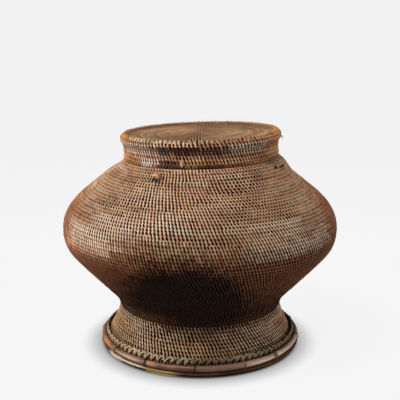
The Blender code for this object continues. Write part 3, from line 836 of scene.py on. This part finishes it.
topRadius, topHeight, underHeight = lid["topRadius"], lid["topHeight"], lid["underHeight"]
topOutline = makeOutline([(topRadius + 0.6 * mm, topHeight + 2.2 * mm), (78 * mm, topHeight + 0.9 * mm),
                          (50 * mm, topHeight + 1.1 * mm), (1.2 * mm, topHeight + 1.6 * mm)])
underOutline = makeOutline([(1.2 * mm, underHeight), (40 * mm, underHeight), (topRadius, underHeight)])
topLook = {
    **lidLook, "uneven": 0.75, "endDarkening": 0.3, "edgeDarkening": 0.6, "broad": 18.0,
    "colours": [(0, 182, 162, 122), (0.35, 213, 168, 127), (0.6, 183, 139, 104), (1, 206, 150, 104)],
}
topCane = caneFinish("lid_top_cane", topLook)
topCoil = coilFinish("lid_top_coil", (30, 18, 12), (42, 27, 18))
topSewing = dict(lid, row=4.0 * mm, pitch=3.2 * mm, width=1.45 * mm, thick=0.36 * mm, dip=0.55 * mm,
                 crest=0.15 * mm, lean=0.12, leanChange=0.0, seed=121, overlap=0.25 * mm, flare=0.1)
topHome = (onTheLedge, "lid", ["lid_top"], "lid_cane")
topSection = ribs(underOutline, topSewing["row"], -0.35 * mm, 0.4 * mm)
topSection += ribs(topOutline, topSewing["row"], -0.95 * mm, 0.5 * mm)
topSection = [(0, underHeight + 0.35 * mm)] + topSection + [(0, topHeight + 0.6 * mm)]
turnPiece("lid_top_coil", topSection, topCoil, topHome, sides=96)
sewPieces("lid_top_stitches", topOutline, topSewing, topCane, topHome)
underSewing = dict(topSewing, section=plainStrap, stations=4, seed=131, lean=-0.25)
sewPieces("lid_under_stitches", underOutline, underSewing, topCane, topHome)
print("lid done")


# The foot's overcast border: slanting loops round the flare
border = {
    "loops": 88, "radius": 114.3 * mm, "height": 17.0 * mm, "length": 5.6 * mm, "width": 2.4 * mm,
    "thick": 1.3 * mm, "slope": radians(-64), "seed": 141,
    # how long and how light the loops are, by angle
    "sizes": [(-180, 0.85), (-60, 0.8), (-45, 1.0), (-8, 1.0), (2, 0.85), (60, 0.75), (180, 0.85)],
    "light": [(-180, 0.5), (-60, 0.45), (-44, 0.55), (-28, 0.5), (-12, 0.1), (0, 0.4), (10, 0.15),
              (22, 0.2), (40, 1), (60, 1), (180, 0.5)],
}
borderLook = {
    **footLook, "endDarkening": 0.35, "edgeDarkening": 0.35, "uneven": 0.9,
    "colours": [(0, 146, 126, 101), (0.4, 192, 164, 133), (0.7, 128, 102, 78), (1, 157, 119, 87)],
}
borderCane = caneFinish("border_cane", borderLook)
borderCoil = coilFinish("border_coil", (58, 42, 30), (82, 62, 46))


def onBorder(angle, across, up, out):    # a place on the sloping band above the hoop
    slope = border["slope"]
    r = border["radius"] - up * cos(slope) + out * -sin(slope)
    z = border["height"] - up * sin(slope) + out * cos(slope)
    return around(r, angle + across / border["radius"], z)


# One loop: along the band in shares of the pitch, up it in shares of a length, and out in thicknesses
loopShape = smoothLine([(-0.08, -0.5, 0.1), (0.16, -0.3, 0.8), (0.38, 0.1, 1.3), (0.62, 0.42, 1.5),
                        (0.92, 0.44, 1.5), (1.1, 0.16, 1.6), (1.02, -0.12, 1.4), (0.78, -0.06, 1)], 4)
borderHome = (asItStands, "basket", ["foot_border"], "border_cane")
chance = np.random.default_rng(border["seed"])
heap = newHeap()
for i in range(border["loops"]):
    a = i * turn / border["loops"] + chance.uniform(-1, 1) * 0.004         # a little off the even spacing
    wave = chance.uniform(0.84, 1.16, 3)
    wave[1] *= np.interp(inDegrees(a), *np.array(border["sizes"]).T)
    across = loopShape[:, 0] * turn * border["radius"] / border["loops"] * wave[0]
    up = loopShape[:, 1] * border["length"] * wave[1]
    out = loopShape[:, 2] * border["thick"]
    path = onBorder(a, across, up, out)
    normal = onBorder(a, across, up, out + mm) - path
    light = np.interp(inDegrees(a), *np.array(border["light"]).T)
    addStrand(heap, path, normal, border["width"] * wave[2], border["thick"], cell=(i, border["loops"]),
              tone=0.45 * chance.uniform() + 0.55 * light)
makePiece("foot_border_loops", heap, borderCane, borderHome)
bandSection = []
for up, out in ((-0.5, 0.0), (-0.25, 0.5), (0.25, 0.5), (0.5, 0.0), (0.25, -0.6), (-0.25, -0.6)):
    spot = onBorder(0.0, 0.0, up * border["length"] * 0.9, out * mm)
    bandSection.append((-spot[1], spot[2]))
turnPiece("foot_border_coil", bandSection, borderCoil, borderHome, creased=50)


# The cane hoop, the split strips under it and the lashings
hoop = {
    "radius": 119.2 * mm, "height": 10.6 * mm, "thick": 6.596 * mm, "joint": radians(-31.5), "gap": 1.6 * mm,
    "knots": (12, 95, 171, 250),        # the cane's own joints, in degrees
    "colours": ((113, 71, 53), (157, 112, 88)), "streaks": (66, 38, 38),
    "overlays": ((196, 138, 92), (236, 200, 180), (74, 22, 18)),        # golden, pale and dark; the pale is partly a painted highlight
    "patches": [                        # which of the three, angle, half width, strength
        # the pale patches are partly painted highlight and painted light along the cane, strongest on the
        # right
        (0, -68, 7, 0.75), (1, -41, 8, 0.25), (0, -27.5, 3.5, 0.8), (1, 60, 27, 0.95), (1, 34, 10, 0.85),
        (1, 17, 14, 0.2), (0, 150, 12, 0.5), (2, -140, 14, 0.5)],
}


def hoopFinish():
    finish, shader, start = newFinish("hoop_cane", 0.3, 0.25, 0.5)
    place = start.node("TexCoord", output="Object")
    tone, along, across = carried(start, "stitch")
    broad = start.noise(place.moved((2.0, 5.0, 1.0)), 16.0, 3.0, 0.6)
    fine = start.noise(place.moved((1.0, 1.0, 4.0)), 150.0, 3.0, 0.65)
    grain = start.node("CombineXYZ", {}, {0: along * 26.0, 1: across * 5.0, 2: tone * 9.0})
    streak = start.noise(grain, 2.2, 3.0, 0.6)
    colour = broad.tints(*hoop["colours"])
    colour = colour.towards(tint(*hoop["streaks"]), streak.between(0.5, 0.75) * 0.5)
    colour = colour.overlaid(hoop["overlays"], carried(start, "patch")).lit(fine * 0.5 + streak * 0.35 + 0.55)
    roughness = (fine * 0.2 + streak * 0.15 + 0.2).held()
    feed(start, shader, colour, roughness, streak * 0.6 + fine * 0.4, 0.25, 0.3 * mm)
    return finish


def ripple(values, waves, phase):       # a slow unevenness along the cane
    return sum(np.sin(values * w + p) / len(waves) for w, p in zip(waves, phase))


hoopCane = hoopFinish()
halfGap = hoop["gap"] / 2 / hoop["radius"]
angle = hoop["joint"] + halfGap + (turn - 2 * halfGap) * np.linspace(0, 1, 260)
bulge = 1 + 0.035 * ripple(angle, (3, 7, 13, 29), (0.4, 1.9, 2.6, 0.8))
for knot in hoop["knots"]:
    bulge = bulge + 0.05 * np.exp(-((angle - radians(knot)) * hoop["radius"] / (1.4 * mm)) ** 2)
bulge[[0, -1]] *= 0.86                  # the cut ends are rounded off
bulge[[1, -2]] *= 0.97
r = hoop["radius"] + 0.25 * mm * ripple(angle, (2, 5, 9), (1.0, 0.2, 2.2))
z = hoop["height"] + 0.25 * mm * ripple(angle, (3, 6, 11), (0.2, 1.2, 3.2))
thick = hoop["thick"] * bulge
heap = newHeap()
addStrand(heap, around(r, angle, z), (0, 0, 1), thick, thick, 16)
where = np.repeat(inDegrees(angle), 16)
patch = np.zeros((len(where), 3))
for kind, middle, half, strength in hoop["patches"]:
    near = np.clip(1.4 - np.abs(where - middle) / half, 0, 1)
    patch[:, kind] = np.maximum(patch[:, kind], near * strength)
heap["patch"][0] = patch
hoopHome = (asItStands, "basket", ["foot_hoop"], "hoop_cane")
makePiece("foot_hoop_cane", heap, hoopCane, hoopHome, creased=60)

strips = {
    "upper": {"r": 120.2 * mm, "z": 4.5 * mm, "width": 5.0 * mm, "thick": 1.8 * mm, "wave": 0.09 * mm,
              "golden": 0.55, "slot": "brown_strip"},
    "lower": {"r": 118.8 * mm, "z": 1.2 * mm, "width": 5.0 * mm, "thick": 2.0 * mm, "wave": 0.3 * mm,
              "golden": 1, "slot": "pale_strip"},
    "break": (radians(-50), radians(-31)),       # where the lower one is gone
    "colours": ((96, 66, 44), (140, 106, 74)),
    "overlays": ((210, 180, 102), (232, 202, 172), (60, 40, 28)),       # golden, pale and dark
}


def stripFinish():
    finish, shader, start = newFinish("strip_cane", 0.45)
    place = start.node("TexCoord", output="Object")
    tone, along, across = carried(start, "stitch")
    grain = start.node("CombineXYZ", {}, {0: along * 30.0, 1: across * 6.0, 2: tone * 9.0})
    streak = start.noise(grain, 2.5, 3.0, 0.6)
    colour = start.noise(place, 30.0, 2.0, 0.5).tints(*strips["colours"])
    colour = colour.overlaid(strips["overlays"], carried(start, "patch")).lit(streak * 0.9 + 0.5)
    feed(start, shader, colour, (streak * 0.3 + 0.3).held(), streak, 0.4, 0.3 * mm)
    return finish


stripCane = stripFinish()
for name, first, last in ("upper", 0.0, turn), ("lower", strips["break"][1], strips["break"][0] + turn):
    look = strips[name]
    closed = name == "upper"
    angle = np.linspace(first, last, 200, endpoint=not closed)
    r = look["r"] + look["wave"] * ripple(angle, (3, 8), (0.5, 2.0))
    z = look["z"] + 0.12 * mm * ripple(angle, (4, 9), (1.5, 0.2))
    taper = np.ones(200)
    if not closed:
        taper = np.clip(np.minimum(np.arange(200), np.arange(200)[::-1]) / 3 * 0.5 + 0.5, 0.5, 1)
    heap = newHeap()
    addStrand(heap, around(r, angle, z), (0, 0, 1), look["width"] * taper, look["thick"] * taper, 10, closed)
    where = np.repeat(inDegrees(angle), 10)
    golden = np.clip((12 - np.abs(where + 22)) / 6, 0, 0.9) * look["golden"]
    pale = np.clip((17 - np.abs(where + 47)) / 5, 0, 0.9)
    dark = np.clip((where + 14) / 7, 0, 0.7) * (1 - np.clip((where - 12) / 12, 0, 0.5))
    heap["patch"][0] = np.stack([golden, pale, dark], -1)
    stripHome = (asItStands, "basket", ["foot_strip_" + name], look["slot"])
    makePiece("foot_strip_" + name + "_cane", heap, stripCane, stripHome)

lashing = {
    "angles": (-56.5, -31.5, -3.5, 24, 46, 78.5, 106, 133, 160, 188, 215, 242, 267),
    "golden": (24, 46, 133, 215), "dark": (-31.5, -3.5, 78.5, 188), "double": (-56.5, 46, 106, 242),
    "reach": 4.1 * mm, "width": 1.9 * mm, "thick": 0.7 * mm, "slant": 3.0 * mm, "seed": 161,
}
lashLook = {
    **borderLook, "golden": (160, 120, 78), "dark": (34, 22, 17), "uneven": 0.3, "roughness": 0.45,
    "colours": [(0, 150, 116, 74), (1, 190, 156, 106)],
}
lashCane = caneFinish("lashing_cane", lashLook)
chance = np.random.default_rng(lashing["seed"])
for number, degrees in enumerate(lashing["angles"], 1):
    heap = newHeap()
    strands = (1, -1) if degrees in lashing["double"] else (1,)
    a = np.arange(28) * turn / 28
    for i, way in enumerate(strands):
        reach = lashing["reach"] + 0.1 * mm * i
        slide = way * lashing["slant"] / 2 * np.cos(a - 0.6)
        angle = radians(degrees) + slide / hoop["radius"]
        path = around(hoop["radius"] + reach * np.cos(a), angle, hoop["height"] + reach * np.sin(a))
        normal = around(np.cos(a), angle, np.sin(a))
        shares = (0.9 * (degrees in lashing["golden"]), 0, 0.95 * (degrees in lashing["dark"]))
        addStrand(heap, path, normal, lashing["width"], lashing["thick"], closed=True,
                  cell=(i, len(strands)), tone=chance.uniform(0.3, 0.9), patch=shares)
    lashHome = (asItStands, "basket", [f"hoop_lashing_{number:02d}"], "lashing_cane")
    makePiece(f"hoop_lashing_cane_{number:02d}", heap, lashCane, lashHome)
print("hoop and lashings done")


# Ends of broken ties on the shoulder, a broken stitch on the foot, and strays on the lid
def onSide(outline, place, degrees, height, across, up, out):     # a place near a spot on a coiled side
    s = np.interp(height, np.maximum.accumulate(outline["z"]), outline["s"])
    across = across / onOutline(outline, s, "r")
    return place(turnedPoint(outline, s + up, out, radians(degrees) + across))


tieLook = {
    **lidLook, "golden": (186, 104, 44), "pale": (226, 176, 122), "dark": (44, 26, 20),
    "colours": [(0, 160, 98, 52), (1, 196, 134, 80)], "uneven": 0.2, "roughness": 0.4,
}
tieCane = caneFinish("tie_cane", tieLook)
greyTie = caneFinish("tie_cane_grey", {**tieLook, "colours": [(0, 108, 98, 74), (1, 142, 128, 98)]})
brownTie = caneFinish("tie_cane_brown", {**tieLook, "colours": [(0, 96, 48, 30), (1, 140, 80, 46)]})
leftHome = (withTheMouth, "basket", ["tie_stub_left"], "tie_cane")
rightHome = (withTheMouth, "basket", ["tie_stub_right"], "tie_cane")
shoulderHome = (withTheMouth, "basket", [], "tie_cane")
brokenHome = (asItStands, "basket", [], "tie_cane")
strayHome = (onTheLedge, "lid", [], "tie_cane")

# Name, home, outline, angle, height, width, thickness, finish and how golden, pale and dark, then the line
# across, up the side and out, in mm: a strand goes in at one hole and comes out of the next
ties = [
    ("tie_left_strand", leftHome, sideOutline, -27.5, 222.5, 4.6, 2.4, tieCane, (0.1, 0.7, 0),
     [(-7.5, 1, -0.8), (-6.8, 1.6, 1.4), (-4.4, 2, 2.8), (-1.4, 1.4, 2.8), (0.9, -0.2, 1.2),
      (1.6, -1.2, -0.8)]),
    ("tie_left_hole", shoulderHome, sideOutline, -26.8, 219.6, 3.4, 0.7, tieCane, (0, 0, 1),
     [(-5, 0.6, -0.4), (-3, 0.3, 0.6), (1.6, -0.5, 0.6), (6, -1.6, -0.4)]),
    ("tie_left_tail", leftHome, sideOutline, -27.5, 222.5, 3.0, 1.4, brownTie, (0, 0, 0.1),
     [(-1, 2.6, -0.4), (0.6, 2.2, 1.4), (3.2, 0.2, 1.9), (6.6, -1.8, 1), (9.5, -3.4, -0.9)]),
    ("tie_right_strand", rightHome, sideOutline, 61, 223.5, 4.8, 1.5, greyTie, (0, 0, 0),
     [(-6.4, 1.4, -0.8), (-6.4, 3, 1.5), (-6.4, 5.2, 3.6), (-6.6, 7.4, 5.2)]),
    ("tie_right_hole", shoulderHome, sideOutline, 61, 223.5, 3.6, 0.7, tieCane, (0, 0, 1),
     [(-9.6, 1.6, -0.4), (-7.4, 0.6, 0.8), (-5, 0.2, 0.8), (-3.4, 0, -0.4)]),
    ("tie_right_tail", rightHome, sideOutline, 61, 223.5, 3.0, 1.3, brownTie, (0, 0, 0.55),
     [(0.6, -0.8, -0.6), (2.6, -0.8, 1.2), (5.6, -1.2, 1.6), (8.5, -1.9, -0.9)]),
    ("tie_right_end", shoulderHome, sideOutline, 67.5, 222.6, 2.4, 0.9, brownTie, (0, 0, 0.6),
     [(-3.5, 0.4, -0.5), (-1.5, 0.6, 1.3), (2, 0.4, 1.6), (4.2, -0.3, -0.3)]),
    ("foot_broken_stitch", brokenHome, footOutline, -26.8, 47.6, 2.0, 0.9, tieCane, (0.1, 0.6, 0),
     [(-3.4, 0.8, -0.8), (-2.2, 0.8, 1.2), (-0.4, 0.4, 1.7), (1.6, -0.4, 1), (3, -1, -0.8)]),
    ("foot_broken_end", brokenHome, footOutline, -22, 45.4, 1.8, 0.7, tieCane, (0, 0, 0.9),
     [(-3.6, 1, -0.6), (-1, 0.3, 0.9), (2, -0.6, 0.9), (4.4, -1.4, -0.6)]),
    ("lid_mending_stitch", strayHome, skirtOutline, -13, 6.6, 2.4, 0.8, tieCane, (0.1, 0.8, 0),
     [(0.4, -6.3, -0.6), (0.2, -4.6, 1.2), (0, -1, 1.1), (-0.2, 2.6, 0.8), (-0.3, 4.4, -0.7)]),
    ("lid_stray_end", strayHome, beadOutline, 77, 24, 1.5, 0.7, tieCane, (0, 0, 0.25),
     [(-3, 0.5, -0.6), (-1.5, 0.6, 0.7), (0.3, 0.2, 1.6), (1.6, -1.2, 2.7), (2.4, -2.4, 3.2)]),
]
for name, home, outline, degrees, height, width, thick, finish, patch, line in ties:
    across, up, out = smoothLine(line, 5).T * mm
    path = onSide(outline, home[0], degrees, height * mm, across, up, out)
    normal = onSide(outline, home[0], degrees, height * mm, across, up, out + mm) - path
    size = np.interp(np.linspace(0, 1, len(path)), (0, 0.12, 0.85, 1), (0.55, 1, 0.95, 0.4)) * mm
    heap = newHeap()
    addStrand(heap, path, normal, width * size, thick * size, patch=patch)
    makePiece(name, heap, finish, home)
print("ties done")


# Floor and backdrop in one sweep, lights and camera
studio = {
    "floor": -0.2 * mm, "floorReach": 3.0, "wallRadius": 4.2, "wallHeight": 4.5,
    "glow": 0.885, "wallGlow": 0.888, "white": 0.05, "farFrom": (0.15, 1.5),
    "halo": (0.112, 0.152), "haloDepth": 0.61, "under": (0.117, 0.125),        # radii of the shadow painted round the foot
    "key": {"energy": 1.86, "soft": 34, "aim": (-46, 62), "colour": (1.0, 0.98, 0.95)},
    "left": {"energy": 2.6, "soft": 50, "aim": (-86, 8), "colour": (1.0, 0.98, 0.96)},
    "right": {"energy": 1.4, "soft": 50, "aim": (80, -5), "colour": (1.0, 0.99, 0.98)},
    "world": 0.1,
}


def stageFinish():
    finish, shader, start = newFinish("studio_paper", 0.9, shine=0.0)
    place = start.node("TexCoord", output="Object")
    away = start.node("VectorMath", {"operation": "LENGTH"}, {0: place}, 1)
    far = away.between(*studio["farFrom"])
    paintedShadow = away.between(*studio["halo"]) * studio["haloDepth"] + (1 - studio["haloDepth"])
    paintedShadow = paintedShadow * (away.between(*studio["under"]) * 0.96 + 0.04)        # painted shadow, darkest under the foot
    shade = (1 - far) * studio["white"] * paintedShadow
    glow = (far * (studio["wallGlow"] - studio["glow"]) + studio["glow"]) * paintedShadow
    start.tree.links.new(shade.grey().socket, shader.inputs["Base Color"])
    start.tree.links.new(glow.grey().socket, shader.inputs["Emission Color"])
    shader.inputs["Emission Strength"].default_value = 1.0
    return finish


heap = newHeap()
reach, wall, top = studio["floorReach"], studio["wallRadius"], studio["wallHeight"]
bend = wall - reach
sweep = [(0, studio["floor"]), (1.0, studio["floor"]), (reach, studio["floor"])]
sweep += [(reach + bend * sin(a), bend * (1 - cos(a))) for a in np.linspace(0.15, pi / 2, 9)]
sweep += [(wall, top), (wall + 0.1, top), (wall + 0.1, -0.1), (0, -0.1)]        # 0.1 m thick behind
addTurned(heap, sweep, 96, asItStands)
points = np.vstack(heap["points"])
mesh = bpy.data.meshes.new("studio_sweep")
mesh.from_pydata(points.tolist(), [], [face for faces in heap["faces"] for face in faces.tolist()])
mesh.shade_smooth()
mesh.set_sharp_from_angle(angle=radians(40))
mesh.materials.append(stageFinish())
stage = bpy.data.objects.new("studio_sweep", mesh)
bpy.context.scene.collection.objects.link(stage)
stage.visible_diffuse = False
stage.visible_shadow = False
stage.visible_glossy = False

for name in ("key", "left", "right"):
    look = studio[name]
    lamp = bpy.data.lights.new("light_" + name, "SUN")
    lamp.energy, lamp.angle, lamp.color = look["energy"], radians(look["soft"]), look["colour"]
    holder = bpy.data.objects.new("light_" + name, lamp)
    sideways, up = (radians(a) for a in look["aim"])
    source = Vector((sin(sideways) * cos(up), -cos(sideways) * cos(up), sin(up)))
    holder.rotation_mode = "QUATERNION"
    holder.rotation_quaternion = source.to_track_quat("Z", "Y")
    holder.location = source * 3
    bpy.context.scene.collection.objects.link(holder)

world = bpy.data.worlds.new("studio")
world.use_nodes = True
world.node_tree.nodes["Background"].inputs["Color"].default_value = (1.0, 0.99, 0.98, 1)
world.node_tree.nodes["Background"].inputs["Strength"].default_value = studio["world"]
bpy.context.scene.world = world

view = {"place": (0, -0.8987, 0.3763), "down": 12.53, "lens": 68.0}
camera = bpy.data.cameras.new("camera")
camera.lens = view["lens"]
camera.sensor_width = 36
eye = bpy.data.objects.new("camera", camera)
eye.location = view["place"]
eye.rotation_euler = (radians(90 - view["down"]), 0, 0)
bpy.context.scene.collection.objects.link(eye)
bpy.context.scene.camera = eye
bpy.context.scene.view_settings.view_transform = "Standard"

print("scene done")
